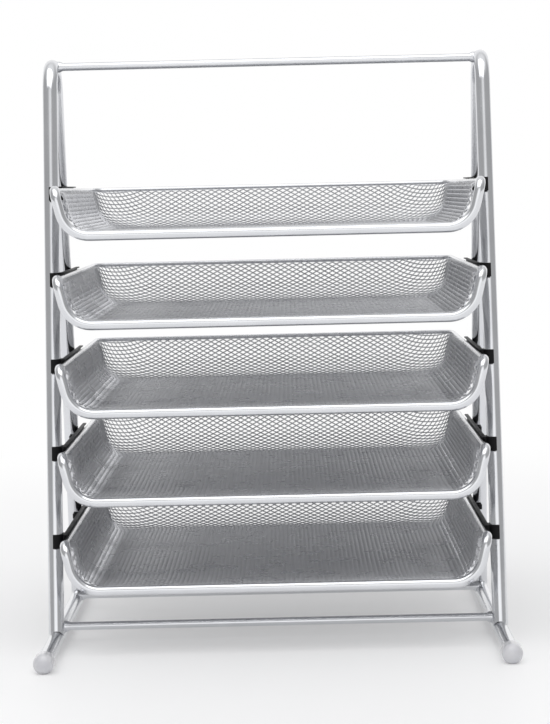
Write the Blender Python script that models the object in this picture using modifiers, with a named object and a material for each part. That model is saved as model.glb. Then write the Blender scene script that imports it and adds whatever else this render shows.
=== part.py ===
"""Five-tier letter tray rack: two bent-tube side frames on foot tubes, five trays that slide in rails.

Metres, +Z up. The open fronts of the trays face -Y. Tier 1 is the top one.
"""

import math

import bmesh
import bpy
from mathutils import Matrix, Vector

# Side frames: one tube each, bent over at the top, standing on a foot tube
TUBE_RADIUS = 0.005
FRAME_SPACING = 0.288
FRAME_Y = -0.008
LEG_SPREAD = 0.1786
TOP_BEND_RADIUS = 0.021
HEADROOM = 0.0855

# Foot tubes and their end caps
FOOT_LENGTH = 0.374
CAP_RADIUS = 0.0065
CAP_LENGTH = 0.016
CAP_BORE_DEPTH = 0.009
CAP_FLAT_DEPTH = 0.0005

# Crossbars
BAR_RADIUS = 0.0027
LOW_BAR_INSET = 0.023
LOW_BAR_RISE = 0.004

# Trays
TIERS = 5
BOTTOM_TIER_HEIGHT = 0.0729
TIER_PITCH = 0.0564
TRAY_REACH = 0.125
TRAY_DEPTH = 0.328
TRAY_HEIGHT = 0.034
WALL_LEAN = math.radians(13.5)
FLOOR_BEND_RADIUS = 0.016
REAR_CORNER_RADIUS = 0.009
CORNER_SPREAD = 0.6
RIM_RADIUS = 0.0026
SHEET = 0.0008

# Openings in a tray's sheet: a plain grid that stands for the fine mesh
OPENINGS_ACROSS = 4
OPENINGS_ALONG = 5
OPEN_SHARE = 0.75
WALL_BAND = 0.004

# Rails that the tray rims slide in, each with two half sleeves that clip on the legs
RAIL_GAP = 0.0008
RAIL_WALL = 0.0008
RAIL_LAP = 0.0035
RAIL_NOSE = 0.0085
RAIL_TAIL = 0.033
SLIDE_PLAY = 0.0004
CLIP_WALL = 0.0024
CLIP_HEIGHT = 0.0095
CLIP_STEP = 0.0004
CLIP_WRAP = 0.001

CLEARANCE = 0.0003
CUT_MARGIN = 0.01
WELD = 1e-6

# Fineness of the facets
BEND_STEPS = 10
CORNER_STEPS = 4
TUBE_RESOLUTION = 4
RIM_RESOLUTION = 2
ROUND_SIDES = 16
CUT_SIDES = 24
CAP_STEPS = 16
DOME_STEPS = 4

SIDES = {"left": -1, "right": 1}
ENDS = {"front": -1, "rear": 1}

frame_x = FRAME_SPACING / 2
foot_z = CAP_RADIUS - CAP_FLAT_DEPTH
frame_height = BOTTOM_TIER_HEIGHT + (TIERS - 1) * TIER_PITCH + HEADROOM
bend_z = frame_height - TUBE_RADIUS - TOP_BEND_RADIUS
rail_outer_x = frame_x - TUBE_RADIUS - RAIL_GAP
rim_outer_x = rail_outer_x - RAIL_WALL - SLIDE_PLAY
rim_x = rim_outer_x - RIM_RADIUS
rim_front_y = FRAME_Y - TRAY_REACH + RIM_RADIUS
rim_rear_y = FRAME_Y - TRAY_REACH + TRAY_DEPTH - RIM_RADIUS
rim_drop = TRAY_HEIGHT - 2 * RIM_RADIUS
rail_half_height = RIM_RADIUS + SLIDE_PLAY + RAIL_WALL
sleeve_radius = TUBE_RADIUS + CLEARANCE + CLIP_WALL

# Lean of the legs: each is a tangent to the top bend that ends on its foot tube
leg_drop = bend_z - foot_z
leg_span = math.hypot(LEG_SPREAD / 2, leg_drop)
leg_lean = math.acos(TOP_BEND_RADIUS / leg_span) - math.atan2(leg_drop, LEG_SPREAD / 2)


def tier_height(tier):
    """Height of the rim's centre line on a tier."""
    return BOTTOM_TIER_HEIGHT + (TIERS - tier) * TIER_PITCH - RIM_RADIUS


def leg_offset(z):
    """How far a leg's centre line stands from the middle of its frame at this height."""
    return TOP_BEND_RADIUS / math.cos(leg_lean) + (bend_z - z) * math.tan(leg_lean)


def new_collection(name):
    collection = bpy.data.collections.new(name)
    bpy.context.scene.collection.children.link(collection)
    return collection


def new_material(name, colour, metallic, roughness):
    material = bpy.data.materials.new(name)
    material.use_nodes = True
    shader = material.node_tree.nodes["Principled BSDF"]
    shader.inputs["Base Color"].default_value = (*colour, 1)
    shader.inputs["Metallic"].default_value = metallic
    shader.inputs["Roughness"].default_value = roughness
    return material


def add_part(name, mesh, material, location=(0, 0, 0), scale=(1, 1, 1), parent=None):
    part = bpy.data.objects.new(name, mesh)
    rack.objects.link(part)
    if not mesh.materials:
        mesh.materials.append(material)
    part.location = location
    part.scale = scale
    part.parent = parent
    return part


def add_cutter(name, mesh):
    cutter = bpy.data.objects.new(name, mesh)
    cutters.objects.link(cutter)
    cutter.hide_render = True
    cutter.display_type = "WIRE"
    return cutter


def mesh_from(name, shape):
    mesh = bpy.data.meshes.new(name)
    shape.to_mesh(mesh)
    shape.free()
    return mesh


def evaluated_mesh(source, name):
    """The mesh that an object evaluates to, welded and shaded smooth. The object is removed."""
    graph = bpy.context.evaluated_depsgraph_get()
    mesh = bpy.data.meshes.new_from_object(source.evaluated_get(graph))
    mesh.name = name
    bpy.data.objects.remove(source)
    shape = bmesh.new()
    shape.from_mesh(mesh)
    bmesh.ops.remove_doubles(shape, verts=shape.verts, dist=WELD)
    shape.to_mesh(mesh)
    shape.free()
    mesh.shade_smooth()
    mesh.set_sharp_from_angle(angle=math.radians(40))
    return mesh


def box_mesh(name, low, high):
    low, high = Vector(low), Vector(high)
    shape = bmesh.new()
    place = Matrix.Translation((low + high) / 2) @ Matrix.Diagonal((*(high - low), 1))
    bmesh.ops.create_cube(shape, size=1, matrix=place)
    return mesh_from(name, shape)


def cylinder_mesh(name, radius, runs, sides):
    """One closed cylinder for each (start, end) pair in runs."""
    shape = bmesh.new()
    for start, end in runs:
        start, end = Vector(start), Vector(end)
        turn = (end - start).to_track_quat("Z", "Y").to_matrix().to_4x4()
        bmesh.ops.create_cone(
            shape,
            cap_ends=True,
            segments=sides,
            radius1=radius,
            radius2=radius,
            depth=(end - start).length,
            matrix=Matrix.Translation((start + end) / 2) @ turn,
        )
    return mesh_from(name, shape)


def tube_mesh(name, points, radius, resolution, closed=False):
    curve = bpy.data.curves.new(name, "CURVE")
    curve.dimensions = "3D"
    curve.bevel_depth = radius
    curve.bevel_resolution = resolution
    curve.use_fill_caps = True
    spline = curve.splines.new("POLY")
    spline.points.add(len(points) - 1)
    for place, point in zip(spline.points, points):
        place.co = (*point, 1)
    spline.use_cyclic_u = closed
    guide = bpy.data.objects.new(name + "_path", curve)
    bpy.context.scene.collection.objects.link(guide)
    return evaluated_mesh(guide, name)


def cut_mesh(name, mesh, steps):
    """The mesh after a list of (operation, cutter) Booleans."""
    blank = bpy.data.objects.new(name + "_blank", mesh)
    bpy.context.scene.collection.objects.link(blank)
    for operation, cutter in steps:
        boolean = blank.modifiers.new(cutter.name, "BOOLEAN")
        boolean.operation = operation
        boolean.object = cutter
    return evaluated_mesh(blank, name)


def rounded(corners, steps):
    """A path along (point, radius) corners, each with an arc of its radius unless that is 0."""
    path = []
    for index, (corner, radius) in enumerate(corners):
        corner = Vector(corner)
        if not radius:
            path.append(corner)
            continue
        before = (Vector(corners[index - 1][0]) - corner).normalized()
        after = (Vector(corners[(index + 1) % len(corners)][0]) - corner).normalized()
        half = before.angle(after) / 2
        middle = corner + (before + after).normalized() * radius / math.sin(half)
        first = corner + before * radius / math.tan(half) - middle
        axis = before.cross(after).normalized()
        sweep = math.pi - 2 * half
        for step in range(steps + 1):
            path.append(middle + Matrix.Rotation(-sweep * step / steps, 3, axis) @ first)
    return path


def frame_mesh():
    """A side frame at x = 0: the bent tube, notched where it stands on the foot tube."""
    front_foot = Vector((0, FRAME_Y - LEG_SPREAD / 2, foot_z))
    rear_foot = Vector((0, FRAME_Y + LEG_SPREAD / 2, foot_z))
    path = [front_foot]
    for step in range(BEND_STEPS + 1):
        turn = leg_lean + (math.pi - 2 * leg_lean) * step / BEND_STEPS
        arm = TOP_BEND_RADIUS * Vector((0, -math.cos(turn), math.sin(turn)))
        path.append(Vector((0, FRAME_Y, bend_z)) + arm)
    path.append(rear_foot)
    tube = tube_mesh("side_frame", path, TUBE_RADIUS, TUBE_RESOLUTION)

    foot_run = (
        (0, FRAME_Y - FOOT_LENGTH / 2, foot_z),
        (0, FRAME_Y + FOOT_LENGTH / 2, foot_z),
    )
    notch = add_cutter(
        "foot_notch", cylinder_mesh("foot_notch", TUBE_RADIUS + CLEARANCE, [foot_run], CUT_SIDES)
    )
    return cut_mesh("side_frame", tube, [("DIFFERENCE", notch)])


def cap_mesh():
    """A foot cap with its mouth at the origin and its dome towards -Y, flat where it stands."""
    bore_radius = TUBE_RADIUS + CLEARANCE
    dome_start = CAP_LENGTH - CAP_RADIUS
    profile = [
        (
            CAP_RADIUS * math.sin(math.pi / 2 * step / DOME_STEPS),
            dome_start + CAP_RADIUS * math.cos(math.pi / 2 * step / DOME_STEPS),
        )
        for step in range(DOME_STEPS + 1)
    ]
    profile += [(CAP_RADIUS, 0), (bore_radius, 0), (bore_radius, CAP_BORE_DEPTH), (0, CAP_BORE_DEPTH)]
    shape = bmesh.new()
    points = [shape.verts.new((radius, 0, along)) for radius, along in profile]
    for first, second in zip(points, points[1:]):
        shape.edges.new((first, second))
    blank = bpy.data.objects.new("cap_blank", mesh_from("foot_cap", shape))
    bpy.context.scene.collection.objects.link(blank)
    screw = blank.modifiers.new("turn", "SCREW")
    screw.steps = CAP_STEPS
    screw.render_steps = CAP_STEPS
    screw.use_merge_vertices = True
    screw.merge_threshold = 1e-5
    turned = evaluated_mesh(blank, "foot_cap")
    turned.transform(Matrix.Rotation(math.pi / 2, 4, "X"))
    flat = add_cutter(
        "cap_flat",
        box_mesh(
            "cap_flat",
            (-CAP_RADIUS, -CAP_LENGTH - CUT_MARGIN, -foot_z - CUT_MARGIN),
            (CAP_RADIUS, CUT_MARGIN, -foot_z),
        ),
    )
    return cut_mesh("foot_cap", turned, [("DIFFERENCE", flat)])


def wall_profile():
    """(inset, z) points of a tray wall's middle, from under the rim down the lean and into the floor."""
    inset_at_floor = rim_drop * math.tan(WALL_LEAN)
    start = RIM_RADIUS + CLEARANCE
    band = start + WALL_BAND
    corners = [
        ((start * math.sin(WALL_LEAN), 0, -start * math.cos(WALL_LEAN)), 0),
        ((band * math.sin(WALL_LEAN), 0, -band * math.cos(WALL_LEAN)), 0),
        ((inset_at_floor, 0, -rim_drop), FLOOR_BEND_RADIUS),
        ((inset_at_floor + rim_x, 0, -rim_drop), 0),
    ]
    return [(point.x, point.z) for point in rounded(corners, CORNER_STEPS)[:-1]]


def opening_spans(start, end, count, first_bar):
    """Stretches from start to end as (end of the stretch, is it open), a bar between two openings."""
    pitch = (end - start) / (count if first_bar else count - 1 + OPEN_SHARE)
    spans = []
    for opening in range(count):
        if opening or first_bar:
            start += (1 - OPEN_SHARE) * pitch
            spans.append((start, False))
        start += OPEN_SHARE * pitch
        spans.append((start, True))
    return spans


def pan_mesh():
    """A tray's sheet about the rim's centre line: floor, two side walls and a back, open in front."""
    front = rim_front_y + RIM_RADIUS + CLEARANCE
    profile = wall_profile()
    fold_inset = profile[-1][0]
    floor_corner = REAR_CORNER_RADIUS + CORNER_SPREAD * fold_inset
    grid_x = rim_x - fold_inset - floor_corner
    grid_y = rim_rear_y - fold_inset - floor_corner
    across = opening_spans(-grid_x, grid_x, OPENINGS_ACROSS, first_bar=False)
    along = opening_spans(front, grid_y, OPENINGS_ALONG, first_bar=True)
    lines_x = [-grid_x] + [place for place, is_open in across]
    lines_y = [front] + [place for place, is_open in along]

    # From the front along the left side, round the back and forward along the right side
    shut = [False] * (CORNER_STEPS + 2)
    along_open = [is_open for place, is_open in along]
    open_at = along_open + shut + [is_open for place, is_open in across] + shut + along_open[::-1]
    shape = bmesh.new()
    rows = []
    for inset, z in profile:
        side, rear = rim_x - inset, rim_rear_y - inset
        corner_radius = REAR_CORNER_RADIUS + CORNER_SPREAD * inset
        corners = [
            ((-side, front, z), 0),
            ((-side, rear, z), corner_radius),
            ((side, rear, z), corner_radius),
            ((side, front, z), 0),
        ]
        bends = rounded(corners, CORNER_STEPS)[1:-1]
        points = [(-side, y, z) for y in lines_y] + bends[: CORNER_STEPS + 1]
        points += [(x, rear, z) for x in lines_x] + bends[CORNER_STEPS + 1 :]
        points += [(side, y, z) for y in reversed(lines_y)]
        rows.append([shape.verts.new(point) for point in points])
    for band, (upper, lower) in enumerate(zip(rows, rows[1:])):
        for index in range(len(upper) - 1):
            if band == 0 or not open_at[index]:
                shape.faces.new((upper[index], upper[index + 1], lower[index + 1], lower[index]))

    # The floor inside the fold
    fold = rows[-1]
    floor = [[shape.verts.new((x, y, -rim_drop)) for x in lines_x] for y in lines_y]
    for row in range(len(along)):
        near, far = floor[row], floor[row + 1]
        shape.faces.new((fold[row], fold[row + 1], far[0], near[0]))
        shape.faces.new((fold[-1 - row], near[-1], far[-1], fold[-2 - row]))
        for column in range(len(across)):
            if not (along[row][1] and across[column][1]):
                shape.faces.new((near[column], near[column + 1], far[column + 1], far[column]))
    back_start = len(lines_y) + CORNER_STEPS + 1
    back_end = back_start + len(across)
    back = fold[back_start : back_end + 1]
    for column in range(len(across)):
        shape.faces.new((floor[-1][column], floor[-1][column + 1], back[column + 1], back[column]))
    shape.faces.new(fold[len(along) : back_start + 1] + [floor[-1][0]])
    shape.faces.new(fold[back_end : -len(along)] + [floor[-1][-1]])
    bmesh.ops.remove_doubles(shape, verts=shape.verts, dist=WELD)
    bmesh.ops.recalc_face_normals(shape, faces=shape.faces)
    blank = bpy.data.objects.new("pan_blank", mesh_from("tray_pan", shape))
    bpy.context.scene.collection.objects.link(blank)
    solidify = blank.modifiers.new("sheet", "SOLIDIFY")
    solidify.thickness = SHEET
    solidify.offset = 0
    return evaluated_mesh(blank, "tray_pan")


def rim_mesh():
    """A tray's round rim: along both sides and the back, and down and across the open front."""
    bend = RIM_RADIUS + CLEARANCE
    floor_x = rim_x - rim_drop * math.tan(WALL_LEAN)
    corners = [
        ((-rim_x, rim_front_y, 0), bend),
        ((-rim_x, rim_rear_y, 0), REAR_CORNER_RADIUS),
        ((rim_x, rim_rear_y, 0), REAR_CORNER_RADIUS),
        ((rim_x, rim_front_y, 0), bend),
        ((floor_x, rim_front_y, -rim_drop), FLOOR_BEND_RADIUS),
        ((-floor_x, rim_front_y, -rim_drop), FLOOR_BEND_RADIUS),
    ]
    return tube_mesh("tray_rim", rounded(corners, CORNER_STEPS), RIM_RADIUS, RIM_RESOLUTION, closed=True)


def rail_mesh(tier):
    """A right-hand rail at a tier: a channel open inwards round the rim, with a half sleeve on each leg."""
    name = f"rail_{tier}"
    lip_x = rim_outer_x - RAIL_LAP
    leg_reach = leg_offset(tier_height(tier))
    front_y = FRAME_Y - leg_reach - RAIL_NOSE
    rear_y = FRAME_Y + leg_reach + RAIL_TAIL
    bar = box_mesh(name, (lip_x, front_y, -rail_half_height), (rail_outer_x, rear_y, rail_half_height))

    leg_runs = []
    for way in ENDS.values():
        seat = Vector((frame_x, FRAME_Y + way * leg_reach, 0))
        along = Vector((0, -way * math.sin(leg_lean), math.cos(leg_lean))) * (CLIP_HEIGHT + CUT_MARGIN)
        leg_runs.append((seat - along, seat + along))
    clip_top = rail_half_height - CLIP_STEP
    inner_half = add_cutter(
        f"clip_inner_half_{tier}",
        box_mesh(
            f"clip_inner_half_{tier}",
            (frame_x - sleeve_radius - CUT_MARGIN, front_y - CUT_MARGIN, clip_top - CLIP_HEIGHT),
            (frame_x + CLIP_WRAP, rear_y + CUT_MARGIN, clip_top),
        ),
    )
    sleeves = cylinder_mesh(f"sleeves_{tier}", sleeve_radius, leg_runs, ROUND_SIDES)
    clips = add_cutter(
        f"clips_{tier}", cut_mesh(f"clips_{tier}", sleeves, [("INTERSECT", inner_half)])
    )
    bores = add_cutter(
        f"clip_bores_{tier}",
        cylinder_mesh(f"clip_bores_{tier}", TUBE_RADIUS + CLEARANCE, leg_runs, CUT_SIDES),
    )
    channel_half = rail_half_height - RAIL_WALL
    channel = add_cutter(
        f"rail_channel_{tier}",
        box_mesh(
            f"rail_channel_{tier}",
            (lip_x - CUT_MARGIN, front_y - CUT_MARGIN, -channel_half),
            (rail_outer_x - RAIL_WALL, rear_y + CUT_MARGIN, channel_half),
        ),
    )
    lower_lip_x = rim_x + SHEET / 2 + CLEARANCE
    under_wall = add_cutter(
        f"rail_under_wall_{tier}",
        box_mesh(
            f"rail_under_wall_{tier}",
            (lip_x - CUT_MARGIN, front_y - CUT_MARGIN, -rail_half_height - CUT_MARGIN),
            (lower_lip_x, rear_y + CUT_MARGIN, 0),
        ),
    )
    return cut_mesh(
        name,
        bar,
        [
            ("UNION", clips),
            ("DIFFERENCE", bores),
            ("DIFFERENCE", channel),
            ("DIFFERENCE", under_wall),
        ],
    )


def bar_mesh(name):
    """A crossbar between the two frames, about its own middle."""
    half = frame_x - TUBE_RADIUS - CLEARANCE
    return tube_mesh(name, [Vector((-half, 0, 0)), Vector((half, 0, 0))], BAR_RADIUS, TUBE_RESOLUTION)


def build_frames():
    frame = frame_mesh()
    tube_half = FOOT_LENGTH / 2 - CAP_LENGTH + CAP_BORE_DEPTH - CLEARANCE
    foot = tube_mesh(
        "foot_tube", [Vector((0, -tube_half, 0)), Vector((0, tube_half, 0))], TUBE_RADIUS, TUBE_RESOLUTION
    )
    cap = cap_mesh()
    for side, sign in SIDES.items():
        x = sign * frame_x
        add_part(f"side_frame_{side}", frame, silver, (x, 0, 0))
        add_part(f"foot_tube_{side}", foot, silver, (x, FRAME_Y, foot_z))
        for end, way in ENDS.items():
            mouth_y = FRAME_Y + way * (FOOT_LENGTH / 2 - CAP_LENGTH)
            add_part(f"foot_cap_{end}_{side}", cap, pale_plastic, (x, mouth_y, foot_z), (1, -way, 1))


def build_crossbars():
    low_y = LEG_SPREAD / 2 - LOW_BAR_INSET
    low_z = foot_z + LOW_BAR_RISE
    places = {
        "top_bar": (0, FRAME_Y, frame_height - TUBE_RADIUS),
        "front_bar": (0, FRAME_Y - low_y, low_z),
        "rear_bar": (0, FRAME_Y + low_y, low_z),
    }
    bar = bar_mesh("crossbar")
    for name, place in places.items():
        add_part(name, bar, silver, place)


def build_rails():
    for tier in range(1, TIERS + 1):
        rail = rail_mesh(tier)
        for side, sign in SIDES.items():
            add_part(f"rail_{side}_{tier}", rail, black_plastic, (0, 0, tier_height(tier)), (sign, 1, 1))


def build_trays():
    pan = pan_mesh()
    rim = rim_mesh()
    for tier in range(1, TIERS + 1):
        tray = bpy.data.objects.new(f"tray_{tier}", None)
        rack.objects.link(tray)
        tray.location = (0, 0, tier_height(tier))
        add_part(f"tray_pan_{tier}", pan, mesh_silver, parent=tray)
        add_part(f"tray_rim_{tier}", rim, silver, parent=tray)


for old in list(bpy.data.objects):
    bpy.data.objects.remove(old)
rack = new_collection("letter_tray_rack")
cutters = new_collection("cutters")
silver = new_material("silver_paint", (0.60, 0.61, 0.63), 0.85, 0.32)
mesh_silver = new_material("silver_mesh", (0.50, 0.51, 0.53), 0.85, 0.4)
black_plastic = new_material("black_plastic", (0.02, 0.02, 0.022), 0, 0.45)
pale_plastic = new_material("pale_plastic", (0.66, 0.68, 0.69), 0, 0.4)
build_frames()
build_crossbars()
build_rails()
build_trays()
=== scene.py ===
import math

import bpy
from mathutils import Matrix, Vector


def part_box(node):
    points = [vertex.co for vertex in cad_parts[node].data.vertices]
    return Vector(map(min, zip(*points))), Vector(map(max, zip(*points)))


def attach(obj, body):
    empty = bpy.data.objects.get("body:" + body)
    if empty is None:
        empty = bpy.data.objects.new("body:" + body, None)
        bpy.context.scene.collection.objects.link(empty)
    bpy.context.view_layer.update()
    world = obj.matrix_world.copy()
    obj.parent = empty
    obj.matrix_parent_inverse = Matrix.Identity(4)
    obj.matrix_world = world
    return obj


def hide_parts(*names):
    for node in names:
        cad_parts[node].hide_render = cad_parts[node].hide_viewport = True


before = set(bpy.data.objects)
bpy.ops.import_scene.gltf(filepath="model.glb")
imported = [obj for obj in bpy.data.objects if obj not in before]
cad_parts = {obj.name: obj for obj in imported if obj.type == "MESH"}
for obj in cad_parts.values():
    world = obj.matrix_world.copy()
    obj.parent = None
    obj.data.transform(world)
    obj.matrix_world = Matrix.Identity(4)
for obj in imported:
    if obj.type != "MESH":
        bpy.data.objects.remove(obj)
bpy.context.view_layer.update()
scene = bpy.context.scene
sides = {"left": -1, "right": 1}
ends = {"front": -1, "rear": 1}
tiers = range(1, 6)  # the first is the top one
quarter = math.pi / 2
print("frame loaded:", len(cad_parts), "nodes")


# Camera and light
cameraView = {
    "location": (0.0135, -1.7685, 0.2938),
    "yaw": 0.0069,
    "pitch": -0.0665,
    "roll": 0.0238,
    "focalPixels": 2600,  # in the 550 x 724 picture
    "pictureHeight": 724,
    "sensorHeight": 36,
    "clip": (0.01, 50),
}


def makeCamera():
    bpy.ops.object.camera_add(location=cameraView["location"])
    camera = bpy.context.object
    turn = Matrix.Rotation(cameraView["yaw"], 3, "Z")
    turn = turn @ Matrix.Rotation(cameraView["pitch"], 3, "X")
    turn = turn @ Matrix.Rotation(cameraView["roll"], 3, "Y")
    turn = turn @ Matrix.Rotation(quarter, 3, "X")  # a Blender camera looks down -Z
    camera.rotation_euler = turn.to_euler()
    camera.data.sensor_fit = "VERTICAL"
    camera.data.sensor_height = cameraView["sensorHeight"]
    camera.data.lens = cameraView["focalPixels"] / cameraView["pictureHeight"] * cameraView["sensorHeight"]
    camera.data.clip_start, camera.data.clip_end = cameraView["clip"]
    scene.camera = camera
    scene.view_settings.view_transform = "Standard"


floorLook = {
    "size": 30,
    "colour": (0.93, 0.93, 0.94, 1),
    "roughness": 0.5,
    "fade": (0.4, 1.2),  # from and to, away from the origin
    "least": 0.3,  # share of plain white close in
}


def makeFloor():
    # a pale floor that keeps the shadow, and is plain white further out
    bpy.ops.mesh.primitive_plane_add(size=floorLook["size"], location=(0, 0, 0))
    floor = bpy.context.object
    floor.name = "floor"
    look = bpy.data.materials.new("floorWhite")
    look.use_nodes = True
    nodes, links = look.node_tree.nodes, look.node_tree.links
    shader = nodes["Principled BSDF"]
    shader.inputs["Base Color"].default_value = floorLook["colour"]
    shader.inputs["Roughness"].default_value = floorLook["roughness"]
    place = nodes.new("ShaderNodeTexCoord")
    distance = nodes.new("ShaderNodeVectorMath")
    distance.operation = "LENGTH"
    links.new(place.outputs["Object"], distance.inputs[0])
    fade = nodes.new("ShaderNodeMapRange")
    fade.interpolation_type = "SMOOTHSTEP"
    fade.inputs["From Min"].default_value, fade.inputs["From Max"].default_value = floorLook["fade"]
    fade.inputs["To Min"].default_value = floorLook["least"]
    links.new(distance.outputs["Value"], fade.inputs["Value"])
    rays = nodes.new("ShaderNodeLightPath")
    seen = rays.outputs["Is Camera Ray"]
    for ray in ("Is Glossy Ray", "Is Transmission Ray"):
        either = nodes.new("ShaderNodeMath")
        either.operation = "MAXIMUM"
        links.new(seen, either.inputs[0])
        links.new(rays.outputs[ray], either.inputs[1])
        seen = either.outputs["Value"]
    share = nodes.new("ShaderNodeMath")
    share.operation = "MULTIPLY"
    links.new(fade.outputs["Result"], share.inputs[0])
    links.new(seen, share.inputs[1])
    white = nodes.new("ShaderNodeEmission")
    mix = nodes.new("ShaderNodeMixShader")
    links.new(share.outputs["Value"], mix.inputs["Fac"])
    links.new(shader.outputs["BSDF"], mix.inputs[1])
    links.new(white.outputs["Emission"], mix.inputs[2])
    links.new(mix.outputs["Shader"], nodes["Material Output"].inputs["Surface"])
    floor.data.materials.append(look)


studioLight = {
    "sides": 0.45,
    "backdrop": (0.35, 0.85, 1.0),  # from and to along +Y, and its strength
    "window": (0.78, 0.96, 1.2),  # the same along -Y, behind the camera
    "ceiling": (0.5, 0.95, 0.95),  # the same along +Z
}


def makeWorld():
    # white where the camera looks, with a bright window wall behind it and greyer sides
    world = bpy.data.worlds.new("studio")
    world.use_nodes = True
    scene.world = world
    nodes, links = world.node_tree.nodes, world.node_tree.links
    way = nodes.new("ShaderNodeTexCoord")
    parts = nodes.new("ShaderNodeSeparateXYZ")
    links.new(way.outputs["Generated"], parts.inputs["Vector"])
    strength = None
    for wall, axis, sign in (("backdrop", "Y", 1), ("window", "Y", -1), ("ceiling", "Z", 1)):
        start, full, power = studioLight[wall]
        fade = nodes.new("ShaderNodeMapRange")
        fade.interpolation_type = "SMOOTHSTEP"
        fade.inputs["From Min"].default_value = sign * start
        fade.inputs["From Max"].default_value = sign * full
        fade.inputs["To Min"].default_value = studioLight["sides"]
        fade.inputs["To Max"].default_value = power
        links.new(parts.outputs[axis], fade.inputs["Value"])
        if strength:
            brighter = nodes.new("ShaderNodeMath")
            brighter.operation = "MAXIMUM"
            links.new(strength, brighter.inputs[0])
            links.new(fade.outputs["Result"], brighter.inputs[1])
            strength = brighter.outputs["Value"]
        else:
            strength = fade.outputs["Result"]
    rays = nodes.new("ShaderNodeLightPath")
    seen = nodes.new("ShaderNodeMix")
    seen.inputs["B"].default_value = 1
    links.new(rays.outputs["Is Camera Ray"], seen.inputs["Factor"])
    links.new(strength, seen.inputs["A"])
    nodes["Background"].inputs["Color"].default_value = (1, 1, 1, 1)
    links.new(seen.outputs["Result"], nodes["Background"].inputs["Strength"])


softbox = {
    "place": (-0.2, -0.7, 1.9),
    "target": (0, 0, 0.2),
    "size": (2.4, 2.0),
    "power": 16,
}


def makeSoftbox():
    bpy.ops.object.light_add(type="AREA", location=softbox["place"])
    lamp = bpy.context.object
    lamp.name = "overheadSoftbox"
    lamp.data.shape = "RECTANGLE"
    lamp.data.size, lamp.data.size_y = softbox["size"]
    lamp.data.energy = softbox["power"]
    way = Vector(softbox["target"]) - Vector(softbox["place"])
    lamp.rotation_euler = way.to_track_quat("-Z", "Y").to_euler()


makeCamera()
makeFloor()
makeWorld()
makeSoftbox()
print("stage set")


# Finishes: colours and roughness drift with the blotches, and the grain is a fine bump
finishes = {
    "silverPaint": {
        "slot": "silver_paint",
        "colours": ((0.7, 0.71, 0.735, 1), (0.76, 0.77, 0.795, 1)),
        "metallic": 1,
        "specular": 0.5,
        "roughness": (0.13, 0.2),
        "blotch": 30,
        "grain": 900,
        "bump": 0.0015,
    },
    "meshSilver": {
        "slot": "silver_mesh",
        "colours": ((0.455, 0.46, 0.48, 1), (0.495, 0.5, 0.52, 1)),
        "metallic": 1,
        "specular": 0.5,
        "roughness": (0.24, 0.36),
        "blotch": 60,
        "grain": 1500,
        "bump": 0.005,
    },
    "blackPlastic": {
        "slot": "black_plastic",
        "colours": ((0.004, 0.004, 0.005, 1), (0.009, 0.009, 0.01, 1)),
        "metallic": 0,
        "specular": 0.15,
        "roughness": (0.4, 0.55),
        "blotch": 80,
        "grain": 2200,
        "bump": 0.02,
    },
    "palePlastic": {
        "slot": "pale_plastic",
        "colours": ((0.6, 0.6, 0.63, 1), (0.68, 0.68, 0.7, 1)),
        "metallic": 0,
        "specular": 0.7,
        "roughness": (0.1, 0.2),
        "blotch": 120,
        "grain": 900,
        "bump": 0.01,
        "depth": 0.003,  # light goes a little way in
    },
}
finishDetail = {
    "noiseDetail": 3,
    "noiseRange": (0.3, 0.7),  # where the noise mostly lies
    "bumpDistance": 0.0002,
    "scatter": 0.5,
}


def makeFinish(name):
    look = finishes[name]
    material = bpy.data.materials.new(name)
    material.use_nodes = True
    nodes, links = material.node_tree.nodes, material.node_tree.links
    shader = nodes["Principled BSDF"]
    shader.inputs["Metallic"].default_value = look["metallic"]
    shader.inputs["Specular IOR Level"].default_value = look["specular"]
    if "depth" in look:
        shader.inputs["Subsurface Weight"].default_value = finishDetail["scatter"]
        shader.inputs["Subsurface Scale"].default_value = look["depth"]
        shader.inputs["Subsurface Radius"].default_value = (1, 1, 1)
    place = nodes.new("ShaderNodeTexCoord")
    noises = {}
    for scale in ("blotch", "grain"):
        noises[scale] = nodes.new("ShaderNodeTexNoise")
        noises[scale].inputs["Scale"].default_value = look[scale]
        noises[scale].inputs["Detail"].default_value = finishDetail["noiseDetail"]
        links.new(place.outputs["Object"], noises[scale].inputs["Vector"])
    tint = nodes.new("ShaderNodeValToRGB")
    stops = tint.color_ramp.elements
    for stop, colour, position in zip(stops, look["colours"], finishDetail["noiseRange"]):
        stop.color = colour
        stop.position = position
    links.new(noises["blotch"].outputs["Fac"], tint.inputs["Fac"])
    links.new(tint.outputs["Color"], shader.inputs["Base Color"])
    gloss = nodes.new("ShaderNodeMapRange")
    low, high = finishDetail["noiseRange"]
    gloss.inputs["From Min"].default_value = low
    gloss.inputs["From Max"].default_value = high
    gloss.inputs["To Min"].default_value, gloss.inputs["To Max"].default_value = look["roughness"]
    links.new(noises["blotch"].outputs["Fac"], gloss.inputs["Value"])
    links.new(gloss.outputs["Result"], shader.inputs["Roughness"])
    bump = nodes.new("ShaderNodeBump")
    bump.inputs["Strength"].default_value = look["bump"]
    bump.inputs["Distance"].default_value = finishDetail["bumpDistance"]
    links.new(noises["grain"].outputs["Fac"], bump.inputs["Height"])
    links.new(bump.outputs["Normal"], shader.inputs["Normal"])
    return material


materials = {name: makeFinish(name) for name in finishes}
print("finishes mixed:", len(materials))


# Modelling helpers
modelling = {
    "mergeGap": 1e-6,
    "tubeSmooth": math.radians(50),  # edges flatter than this are shaded smooth
    "barSmooth": math.radians(40),
    "edgeSmooth": math.radians(35),
    "bevelFrom": math.radians(40),  # edges sharper than this are softened
    "bevelSegments": 2,
}


def startPiece():
    if bpy.context.object and bpy.context.object.mode != "OBJECT":
        bpy.ops.object.mode_set(mode="OBJECT")
    bpy.ops.object.select_all(action="DESELECT")


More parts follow.
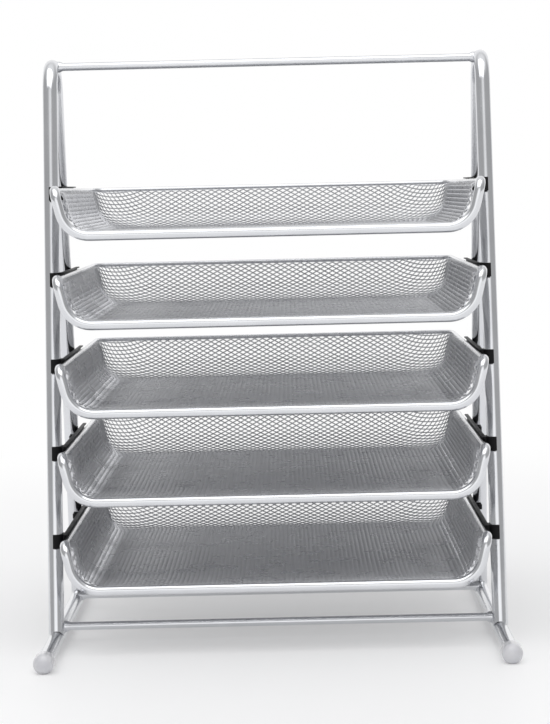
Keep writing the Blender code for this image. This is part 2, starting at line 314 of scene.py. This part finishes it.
def pick(piece):
    startPiece()
    piece.select_set(True)
    bpy.context.view_layer.objects.active = piece


def settle(piece, name):
    # place and turn go into the mesh
    piece.name = name
    piece.data.name = name
    pick(piece)
    bpy.ops.object.transform_apply(location=True, rotation=True, scale=True)


def drawOut(step):
    bpy.ops.mesh.extrude_region_move(TRANSFORM_OT_translate={"value": step})


def trim(place, outwards, fill=True):
    bpy.ops.mesh.select_all(action="SELECT")
    bpy.ops.mesh.bisect(plane_co=place, plane_no=outwards, use_fill=fill, clear_outer=True)


def tubeRun(radius, facets, start, way, moves, closed=False):
    # a ring drawn along straight runs, flares and bends
    place, way = Vector(start), Vector(way).normalized()
    facing = way.to_track_quat("Z", "Y").to_euler()
    startPiece()
    bpy.ops.mesh.primitive_circle_add(vertices=facets, radius=radius, location=place, rotation=facing)
    piece = bpy.context.object
    bpy.ops.object.mode_set(mode="EDIT")
    bpy.ops.mesh.select_all(action="SELECT")
    for move in moves:
        if move[0] == "bend":
            angle, bendRadius, towards, steps = move[1:]
            towards = Vector(towards)
            towards = (towards - way * way.dot(towards)).normalized()
            middle = place + towards * bendRadius
            axis = way.cross(towards)
            bpy.ops.mesh.spin(steps=steps, angle=-angle, center=middle, axis=axis)  # spin turns the other way
            turn = Matrix.Rotation(angle, 3, axis)
            place = middle + turn @ (place - middle)
            way = turn @ way
        else:
            drawOut(way * move[1])
            place = place + way * move[1]
        if move[0] == "flare":  # a short run that widens or narrows
            bpy.ops.transform.resize(value=(move[2],) * 3, center_override=place)
    bpy.ops.mesh.select_all(action="SELECT")
    bpy.ops.mesh.remove_doubles(threshold=modelling["mergeGap"])
    if not closed:
        bpy.ops.mesh.select_all(action="DESELECT")
        bpy.ops.mesh.select_non_manifold()
        bpy.ops.mesh.edge_face_add()  # one n-gon for each open end
    bpy.ops.mesh.select_all(action="SELECT")
    bpy.ops.mesh.normals_make_consistent(inside=False)
    bpy.ops.object.mode_set(mode="OBJECT")
    bpy.ops.object.shade_smooth_by_angle(angle=modelling["tubeSmooth"])
    return piece


def makeBox(low, high):
    startPiece()
    low, high = Vector(low), Vector(high)
    bpy.ops.mesh.primitive_cube_add(size=1, location=(low + high) / 2, scale=high - low)
    bpy.ops.object.transform_apply(location=True, rotation=True, scale=True)
    return bpy.context.object


def cut(piece, tool, how="DIFFERENCE"):
    pick(piece)
    boolean = piece.modifiers.new("cut", "BOOLEAN")
    boolean.operation = how
    boolean.object = tool
    boolean.solver = "EXACT"
    bpy.ops.object.modifier_apply(modifier="cut")
    bpy.data.objects.remove(tool)


def mergeSlivers(piece, gap):
    pick(piece)
    bpy.ops.object.mode_set(mode="EDIT")
    bpy.ops.mesh.select_all(action="SELECT")
    bpy.ops.mesh.remove_doubles(threshold=gap)
    bpy.ops.object.mode_set(mode="OBJECT")


def softenEdges(piece, width):
    pick(piece)
    bevel = piece.modifiers.new("soften", "BEVEL")
    bevel.width = width
    bevel.segments = modelling["bevelSegments"]
    bevel.limit_method = "ANGLE"
    bevel.angle_limit = modelling["bevelFrom"]
    bpy.ops.object.modifier_apply(modifier="soften")
    bpy.ops.object.shade_smooth_by_angle(angle=modelling["edgeSmooth"])


def copyPiece(piece, name, shift=(0, 0, 0), mirror=False):
    copy = piece.copy()
    copy.data = piece.data.copy()
    copy.name = name
    copy.data.name = name
    scene.collection.objects.link(copy)
    if mirror:
        copy.data.transform(Matrix.Diagonal((-1, 1, 1, 1)))
        copy.data.flip_normals()
    copy.data.transform(Matrix.Translation(shift))
    return copy


def dress(piece, finish, body, *nodes):
    piece.data.materials.clear()
    piece.data.materials.append(materials[finish])
    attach(piece, body)
    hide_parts(*nodes)


# Side frames on foot tubes
frameTube = {
    "radius": 0.005,
    "x": 0.144,
    "midY": -0.008,
    "spread": 0.1786,  # between the feet of the legs
    "footZ": 0.006,
    "bendRadius": 0.021,
    "facets": 28,
    "bendSteps": 18,
    "gap": 0.0003,  # between pieces that touch
    "sliver": 0.00002,
}
frameTube["bendZ"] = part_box("side_frame_left")[1].z - frameTube["radius"] - frameTube["bendRadius"]
legDrop = frameTube["bendZ"] - frameTube["footZ"]
legSpan = math.hypot(frameTube["spread"] / 2, legDrop)
legLean = math.acos(frameTube["bendRadius"] / legSpan) - math.atan2(legDrop, frameTube["spread"] / 2)
legRun = math.sqrt(legSpan ** 2 - frameTube["bendRadius"] ** 2)


def legOffset(z):
    # a leg's distance from the middle at a height
    return frameTube["bendRadius"] / math.cos(legLean) + (frameTube["bendZ"] - z) * math.tan(legLean)


def makeFrame(x):
    start = (x, frameTube["midY"] - frameTube["spread"] / 2, frameTube["footZ"])
    up = (0, math.sin(legLean), math.cos(legLean))
    over = math.pi - 2 * legLean
    moves = [
        ("run", legRun),
        ("bend", over, frameTube["bendRadius"], (0, 1, 0), frameTube["bendSteps"]),
        ("run", legRun),
    ]
    return tubeRun(frameTube["radius"], frameTube["facets"], start, up, moves)


footTube = {
    "length": 0.374,  # over the caps
    "capLength": 0.016,
    "capBore": 0.009,
    "chamfer": 0.0006,
}
tubeHalf = footTube["length"] / 2 - footTube["capLength"] + footTube["capBore"] - frameTube["gap"]


def makeFoot(x, radius):
    start = (x, frameTube["midY"] - tubeHalf, frameTube["footZ"])
    return tubeRun(radius, frameTube["facets"], start, (0, 1, 0), [("run", 2 * tubeHalf)])


sideFrame = makeFrame(frameTube["x"])
cut(sideFrame, makeFoot(frameTube["x"], frameTube["radius"] + frameTube["gap"]))
settle(sideFrame, "sideFrameRight")
mergeSlivers(sideFrame, frameTube["sliver"])  # at the saddles
bpy.ops.object.shade_smooth_by_angle(angle=modelling["tubeSmooth"])
foot = makeFoot(frameTube["x"], frameTube["radius"])
softenEdges(foot, footTube["chamfer"])
settle(foot, "footTubeRight")
for side, sign in sides.items():
    framePiece = sideFrame if sign > 0 else copyPiece(sideFrame, "sideFrameLeft", mirror=True)
    footPiece = foot if sign > 0 else copyPiece(foot, "footTubeLeft", mirror=True)
    dress(framePiece, "silverPaint", "frame", f"side_frame_{side}")
    dress(footPiece, "silverPaint", "frame", f"foot_tube_{side}")
print("side frames bent")


# Foot caps
footCap = {
    "radius": 0.0065,
    "segments": 32,
    "rings": 16,
    "lip": 0.0004,
    "flatZ": 0.00001,  # cut flat just above the floor
}


def makeCap():
    # front right: the dome of a ball, drawn back to a mouth with a bore
    mouthY = frameTube["midY"] - footTube["length"] / 2 + footTube["capLength"]
    domeY = mouthY - footTube["capLength"] + footCap["radius"]
    mouth = Vector((frameTube["x"], mouthY, frameTube["footZ"]))
    lipRadius = footCap["radius"] - footCap["lip"]
    boreRadius = frameTube["radius"] + frameTube["gap"]
    startPiece()
    bpy.ops.mesh.primitive_uv_sphere_add(
        segments=footCap["segments"],
        ring_count=footCap["rings"],
        radius=footCap["radius"],
        location=(frameTube["x"], domeY, frameTube["footZ"]),
        rotation=(quarter, 0, 0),
    )
    piece = bpy.context.object
    settle(piece, "footCapFrontRight")
    bpy.ops.object.mode_set(mode="EDIT")
    trim((0, domeY, 0), (0, 1, 0), fill=False)
    bpy.ops.mesh.select_all(action="DESELECT")
    bpy.ops.mesh.select_non_manifold()
    drawOut((0, mouthY - domeY - footCap["lip"], 0))
    drawOut((0, footCap["lip"], 0))
    bpy.ops.transform.resize(value=(lipRadius / footCap["radius"],) * 3, center_override=mouth)
    drawOut((0, 0, 0))
    bpy.ops.transform.resize(value=(boreRadius / lipRadius,) * 3, center_override=mouth)
    drawOut((0, -footTube["capBore"], 0))
    bpy.ops.mesh.edge_face_add()
    trim((0, 0, footCap["flatZ"]), (0, 0, -1))
    bpy.ops.mesh.select_all(action="SELECT")
    bpy.ops.mesh.remove_doubles(threshold=modelling["mergeGap"])
    bpy.ops.mesh.normals_make_consistent(inside=False)
    bpy.ops.object.mode_set(mode="OBJECT")
    bpy.ops.object.shade_smooth_by_angle(angle=modelling["edgeSmooth"])
    return piece


cap = makeCap()
toRear = Matrix.Translation((0, 2 * frameTube["midY"], 0)) @ Matrix.Diagonal((1, -1, 1, 1))
for side, sign in sides.items():
    for end in ends:
        capPiece = cap
        if side == "left" or end == "rear":
            capPiece = copyPiece(cap, f"footCap{end.title()}{side.title()}", mirror=sign < 0)
        if end == "rear":
            capPiece.data.transform(toRear)
            capPiece.data.flip_normals()
        dress(capPiece, "palePlastic", "frame", f"foot_cap_{end}_{side}")
print("feet capped")


# Crossbars
crossbar = {
    "radius": 0.0027,
    "facets": 20,
    "inset": 0.023,  # of the low bars, from the feet of the legs
    "rise": 0.004,
    "flareRun": 0.0022,
    "flare": 1.4,
    "trimBack": 0.0001,
}
lowBarY = frameTube["spread"] / 2 - crossbar["inset"]
lowBarZ = frameTube["footZ"] + crossbar["rise"]
barPlaces = {
    "top_bar": (frameTube["midY"], frameTube["bendZ"] + frameTube["bendRadius"]),
    "front_bar": (frameTube["midY"] - lowBarY, lowBarZ),
    "rear_bar": (frameTube["midY"] + lowBarY, lowBarZ),
}


def makeBar(y, z):
    # between the middles of two tubes, flared where it meets them
    form = crossbar
    start = (-frameTube["x"], y, z)
    inner = frameTube["x"] - frameTube["radius"] - form["flareRun"]
    moves = [
        ("run", frameTube["radius"]),
        ("flare", form["flareRun"], 1 / form["flare"]),
        ("run", 2 * inner),
        ("flare", form["flareRun"], form["flare"]),
        ("run", frameTube["radius"]),
    ]
    return tubeRun(form["radius"] * form["flare"], form["facets"], start, (1, 0, 0), moves)


def fitBar(bar, node):
    # its ends follow the tubes, and what is left beyond them goes
    for sign in sides.values():
        x = sign * frameTube["x"]
        cut(bar, makeFrame(x) if node == "top_bar" else makeFoot(x, frameTube["radius"]))
    pick(bar)
    bpy.ops.object.mode_set(mode="EDIT")
    for sign in sides.values():
        trim((sign * (frameTube["x"] - crossbar["trimBack"]), 0, 0), (sign, 0, 0))
    bpy.ops.object.mode_set(mode="OBJECT")


for node, (y, z) in barPlaces.items():
    bar = makeBar(y, z)
    fitBar(bar, node)
    settle(bar, node.replace("_bar", "Bar"))
    bpy.ops.object.shade_smooth_by_angle(angle=modelling["barSmooth"])
    dress(bar, "silverPaint", "frame", node)
print("crossbars welded")


# Trays: the rim
trayForm = {
    "solidRadius": 0.0026,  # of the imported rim, whose middle line is kept
    "frontRadius": 0.0032,  # the front is stout, the sides and the rear are thin
    "thinRadius": 0.0016,
    "taper": 0.006,
    "rimX": 0.1344,
    "frontY": -0.1304,
    "rearY": 0.1924,
    "drop": 0.0288,
    "lean": math.radians(13.5),
    "floorBend": 0.0188,
    "rearCorner": 0.009,
    "cornerSpread": 0.6,  # how fast the rear corners widen downwards
    "frontBend": 0.007,
    "facets": 18,
    "cornerSteps": 8,
    "floorSteps": 14,
}
tierZ = {tier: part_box(f"tray_rim_{tier}")[1].z - trayForm["solidRadius"] for tier in tiers}
wallTurn = quarter - trayForm["lean"]
wallSlant = trayForm["drop"] / math.cos(trayForm["lean"])
bendReach = trayForm["floorBend"] * math.tan(wallTurn / 2)  # from a bend's start to the fold line
floorX = trayForm["rimX"] - trayForm["drop"] * math.tan(trayForm["lean"])
flatX = floorX - bendReach  # where the floor starts to bend up at the sides


def makeRim():
    # from the middle of the rear, round the right side and the front, and back
    form = trayForm
    down = (-math.sin(form["lean"]), 0, -math.cos(form["lean"]))
    rearRun = form["rimX"] - form["rearCorner"]
    sideRun = form["rearY"] - form["frontY"] - form["rearCorner"] - form["frontBend"] - form["taper"]
    wallRun = wallSlant - form["frontBend"] - bendReach
    swell = form["frontRadius"] / form["thinRadius"]
    moves = [
        ("run", rearRun),
        ("bend", quarter, form["rearCorner"], (0, -1, 0), form["cornerSteps"]),
        ("run", sideRun),
        ("flare", form["taper"], swell),
        ("bend", quarter, form["frontBend"], down, form["cornerSteps"]),
        ("run", wallRun),
        ("bend", wallTurn, form["floorBend"], (-1, 0, 0), form["floorSteps"]),
        ("run", 2 * flatX),
        ("bend", wallTurn, form["floorBend"], (0, 0, 1), form["floorSteps"]),
        ("run", wallRun),
        ("bend", quarter, form["frontBend"], (0, 1, 0), form["cornerSteps"]),
        ("flare", form["taper"], 1 / swell),
        ("run", sideRun),
        ("bend", quarter, form["rearCorner"], (1, 0, 0), form["cornerSteps"]),
        ("run", rearRun),
    ]
    return tubeRun(form["thinRadius"], form["facets"], (0, form["rearY"], 0), (1, 0, 0), moves, closed=True)


def stackTrays(pattern, name, finish, node):
    # one for each tier, and the pattern itself goes
    for tier in tiers:
        piece = copyPiece(pattern, f"{name}{tier}", (0, 0, tierZ[tier]))
        dress(piece, finish, f"tray_{tier}", f"{node}_{tier}")
    bpy.data.objects.remove(pattern)


rim = makeRim()
settle(rim, "rimPattern")
stackTrays(rim, "trayRim", "silverPaint", "tray_rim")
print("rims bent")


# Trays: expanded metal, cut flat and pressed
meshForm = {
    "columns": 51,  # diamonds across the flat blank
    "shortWay": 0.0034,
    "strand": 0.0008,
    "ridge": 0.0003,
    "twist": 0.00035,
    "intoRim": 0.0012,
    "gridCells": 164,  # enough to cover the blank
    "trimGap": 0.00001,
    "inside": 0.0022,  # how far the walls lie inside the rim
    "topHem": 0.003,  # over which they flare out to it
    "frontInside": 0.005,  # the same at the front, where the floor has a share of it
    "floorShare": 0.45,
    "frontHem": 0.006,
    "frontDeep": 0.06,  # how far back the front's form fades
}
foldInset = trayForm["rimX"] - flatX
flatY = trayForm["rearY"] - foldInset
wallLength = trayForm["floorBend"] * wallTurn + wallSlant - bendReach
floorCorner = trayForm["rearCorner"] + trayForm["cornerSpread"] * foldInset
cornerX, cornerY = flatX - floorCorner, flatY - floorCorner
longWay = 2 * (flatX + wallLength) / meshForm["columns"]


def easeStep(share):
    share = min(max(share, 0), 1)
    return share * share * (3 - 2 * share)


def pastFold(u, v):
    # how far out along the sheet from the fold, u and v being places on the flat blank
    if u > cornerX and v > cornerY:
        return math.hypot(u - cornerX, v - cornerY) - floorCorner
    return max(u - flatX, v - flatY)


def wallProfile(s):
    # distance out from the fold, height above the floor and slope, s along the sheet
    if s <= 0:
        return s, 0, 0
    bend = trayForm["floorBend"]
    slope = min(s / bend, wallTurn)
    rest = s - bend * slope
    out = bend * math.sin(slope) + rest * math.cos(slope)
    height = bend * (1 - math.cos(slope)) + rest * math.sin(slope)
    return out, height, slope


def sheetInside(s, slope, v):
    # how far the sheet lies inside the rim, nothing where it meets it
    form = meshForm
    fromFront = v - trayForm["frontY"]
    toRim = min(fromFront / form["frontHem"], (wallLength - max(s, 0)) / form["topHem"])
    upright = math.sin(slope)
    atFront = form["frontInside"] * (form["floorShare"] + (1 - form["floorShare"]) * upright)
    further = form["inside"] * upright
    inside = atFront + (further - atFront) * easeStep(fromFront / form["frontDeep"])
    return inside * easeStep(toRim)


def cornerPlace(u, v, inset):
    # a rear corner's fan of sheet is laid out along the wall's own corner
    wallX, wallY = trayForm["rimX"] - inset, trayForm["rearY"] - inset
    radius = trayForm["rearCorner"] + trayForm["cornerSpread"] * inset
    straight = wallY - radius - cornerY
    arc = radius * quarter
    along = math.atan2(v - cornerY, u - cornerX) / quarter * (2 * straight + arc)
    turn = min(max((along - straight) / radius, 0), quarter)
    facing = Vector((math.cos(turn), math.sin(turn)))
    point = Vector((wallX - radius, wallY - radius)) + radius * facing
    if along < straight:
        point.y = cornerY + along
    elif along > straight + arc:
        point.x = cornerX + (2 * straight + arc - along)
    return point, facing


def pressPoint(u, v, w):
    # from the flat blank, w being the height above it, to the pressed tray
    sign = -1 if u < 0 else 1
    u = abs(u)
    s = pastFold(u, v)
    if s > wallLength:  # the edge's tips are pressed into the rim
        s = wallLength + (s - wallLength) * meshForm["intoRim"] / (longWay / 2)
    out, height, slope = wallProfile(s)
    inset = foldInset - out
    w = w + sheetInside(s, slope, v)
    if s <= 0:
        point, facing = Vector((u, v)), Vector((0, 0))
    elif u > cornerX and v > cornerY:
        point, facing = cornerPlace(u, v, inset)
    elif v <= cornerY:
        point, facing = Vector((trayForm["rimX"] - inset, v)), Vector((1, 0))
    else:
        point, facing = Vector((u, trayForm["rearY"] - inset)), Vector((0, 1))
    point = point - facing * math.sin(slope) * w
    return Vector((sign * point.x, point.y, height + math.cos(slope) * w - trayForm["drop"]))


def layBlank():
    # a grid stood on its corner, stretched to long diamonds and trimmed to the flat blank
    form = meshForm
    cells = form["gridCells"]
    middleY = (trayForm["frontY"] + flatY + wallLength) / 2
    startPiece()
    bpy.ops.mesh.primitive_grid_add(x_subdivisions=cells, y_subdivisions=cells, size=cells / math.sqrt(2))
    piece = bpy.context.object
    bpy.ops.object.mode_set(mode="EDIT")
    bpy.ops.mesh.select_all(action="SELECT")
    bpy.ops.transform.rotate(value=quarter / 2, orient_axis="Z", center_override=(0, 0, 0))
    bpy.ops.transform.resize(value=(longWay, form["shortWay"], 1), center_override=(0, 0, 0))
    bpy.ops.transform.translate(value=(0, middleY, 0))
    bpy.ops.mesh.select_all(action="DESELECT")
    bpy.ops.mesh.select_mode(type="FACE")
    bpy.ops.object.mode_set(mode="OBJECT")
    for face in piece.data.polygons:
        u, v = abs(face.center.x), face.center.y
        tooFarOut = pastFold(u, v) > wallLength + form["trimGap"]
        face.select = tooFarOut or v < trayForm["frontY"] - form["trimGap"]
    bpy.ops.object.mode_set(mode="EDIT")
    bpy.ops.mesh.delete(type="FACE")
    bpy.ops.mesh.select_mode(type="VERT")
    bpy.ops.object.mode_set(mode="OBJECT")
    return piece


def openDiamonds(piece, meetings):
    # each diamond is inset and its middle taken out, which leaves the strands
    form = meshForm
    bpy.ops.object.mode_set(mode="EDIT")
    bpy.ops.mesh.select_all(action="SELECT")
    bpy.ops.mesh.inset(thickness=form["strand"] / 2, use_individual=True)
    bpy.ops.object.mode_set(mode="OBJECT")
    points = piece.data.vertices
    for face in piece.data.polygons:
        if face.select:  # drawing the sheet open twists the strands
            for corner in face.vertices:
                point = points[corner].co
                if abs(point.y - face.center.y) > form["strand"]:
                    point.z = math.copysign(form["twist"], face.center.y - point.y)
    for line in piece.data.edges:
        tip, corner = sorted(line.vertices)
        if tip < len(meetings) <= corner and meetings[tip] == 1:  # along the edge, strands end in a point
            points[corner].co = points[tip].co
    bpy.ops.object.mode_set(mode="EDIT")
    bpy.ops.mesh.delete(type="FACE")
    bpy.ops.object.mode_set(mode="OBJECT")


def thickenStrands(piece, meetings):
    # the same again below, joined along the edges of the holes
    bpy.ops.object.mode_set(mode="EDIT")
    bpy.ops.mesh.select_all(action="SELECT")
    bpy.ops.mesh.duplicate()
    bpy.ops.mesh.flip_normals()
    bpy.ops.object.mode_set(mode="OBJECT")
    points = piece.data.vertices
    below = len(points) // 2
    for crossing, count in enumerate(meetings):
        if count > 1:  # not the tips along the edge
            points[crossing].co.z = meshForm["ridge"]
            points[below + crossing].co.z = -meshForm["ridge"]
    bpy.ops.object.mode_set(mode="EDIT")
    bpy.ops.mesh.select_all(action="SELECT")
    bpy.ops.mesh.remove_doubles(threshold=modelling["mergeGap"])
    bpy.ops.mesh.fill_holes(sides=0)  # between the tips
    bpy.ops.mesh.normals_make_consistent(inside=False)
    bpy.ops.object.mode_set(mode="OBJECT")


def makeMeshTray():
    piece = layBlank()
    meetings = [0] * len(piece.data.vertices)  # diamonds that meet at each crossing
    for face in piece.data.polygons:
        for corner in face.vertices:
            meetings[corner] += 1
    openDiamonds(piece, meetings)
    thickenStrands(piece, meetings)
    for vertex in piece.data.vertices:
        vertex.co = pressPoint(*vertex.co)
    bpy.ops.object.shade_flat()  # sheared strands have sharp edges
    return piece


meshTray = makeMeshTray()
settle(meshTray, "meshPattern")
print("mesh pressed:", len(meshTray.data.polygons), "faces")
stackTrays(meshTray, "meshTray", "meshSilver", "tray_pan")
print("trays in place")


# Rails with clips
railForm = {
    "lipX": 0.1358,  # inner edge of the lips above and below the rim
    "outerX": 0.1382,
    "halfHeight": 0.0028,
    "wall": 0.0008,
    "nose": 0.0085,  # in front of the front leg
    "tail": 0.033,  # behind the rear leg
    "clipRadius": 0.0077,
    "clipHeight": 0.0089,
    "clipStep": 0.0002,  # from the rail's top down to the clip's
    "rearClipDrop": 0.0055,  # the rear clips are cut lower
    "clipWrap": 0.001,  # past the middle of the leg
    "edge": 0.0002,
    "facets": 36,
    "toolPast": 0.01,  # how far cutting shapes reach beyond
    "toolBlock": 0.03,
}


def addClip(rail, end, reach):
    # half a sleeve round the leg
    form = railForm
    top = form["halfHeight"] - form["clipStep"]
    base = top - form["clipHeight"]
    if end == "rear":
        top = top - form["rearClipDrop"]
    seat = Vector((frameTube["x"], frameTube["midY"] + ends[end] * reach, 0))
    along = Vector((0, -ends[end] * math.sin(legLean), math.cos(legLean)))
    length = form["clipHeight"] + form["toolPast"]
    start = seat - along * length
    moves = [("run", 2 * length)]
    clip = tubeRun(form["clipRadius"], form["facets"], start, along, moves)
    low = (frameTube["x"] - form["toolBlock"], seat.y - form["toolBlock"], base)
    high = (frameTube["x"] + form["clipWrap"], seat.y + form["toolBlock"], top)
    cut(clip, makeBox(low, high), "INTERSECT")
    cut(rail, clip, "UNION")
    cut(rail, tubeRun(frameTube["radius"] + frameTube["gap"], form["facets"], start, along, moves))


def makeRail(tier):
    # right: a groove for the rim, with a clip on each leg
    form = railForm
    reach = legOffset(tierZ[tier])
    frontY = frameTube["midY"] - reach - form["nose"]
    rearY = frameTube["midY"] + reach + form["tail"]
    half, past = form["halfHeight"], form["toolPast"]
    rail = makeBox((form["lipX"], frontY, -half), (form["outerX"], rearY, half))
    for end in ends:
        addClip(rail, end, reach)
    groove = half - form["wall"]
    low = (form["lipX"] - past, frontY - past, -groove)
    high = (form["outerX"] - form["wall"], rearY + past, groove)
    cut(rail, makeBox(low, high))
    softenEdges(rail, form["edge"])
    return rail


for tier in tiers:
    rail = makeRail(tier)
    settle(rail, f"railRight{tier}")
    rail.data.transform(Matrix.Translation((0, 0, tierZ[tier])))
    mirrored = copyPiece(rail, f"railLeft{tier}", mirror=True)
    dress(rail, "blackPlastic", "frame", f"rail_right_{tier}")
    dress(mirrored, "blackPlastic", "frame", f"rail_left_{tier}")
print("rails clipped on")
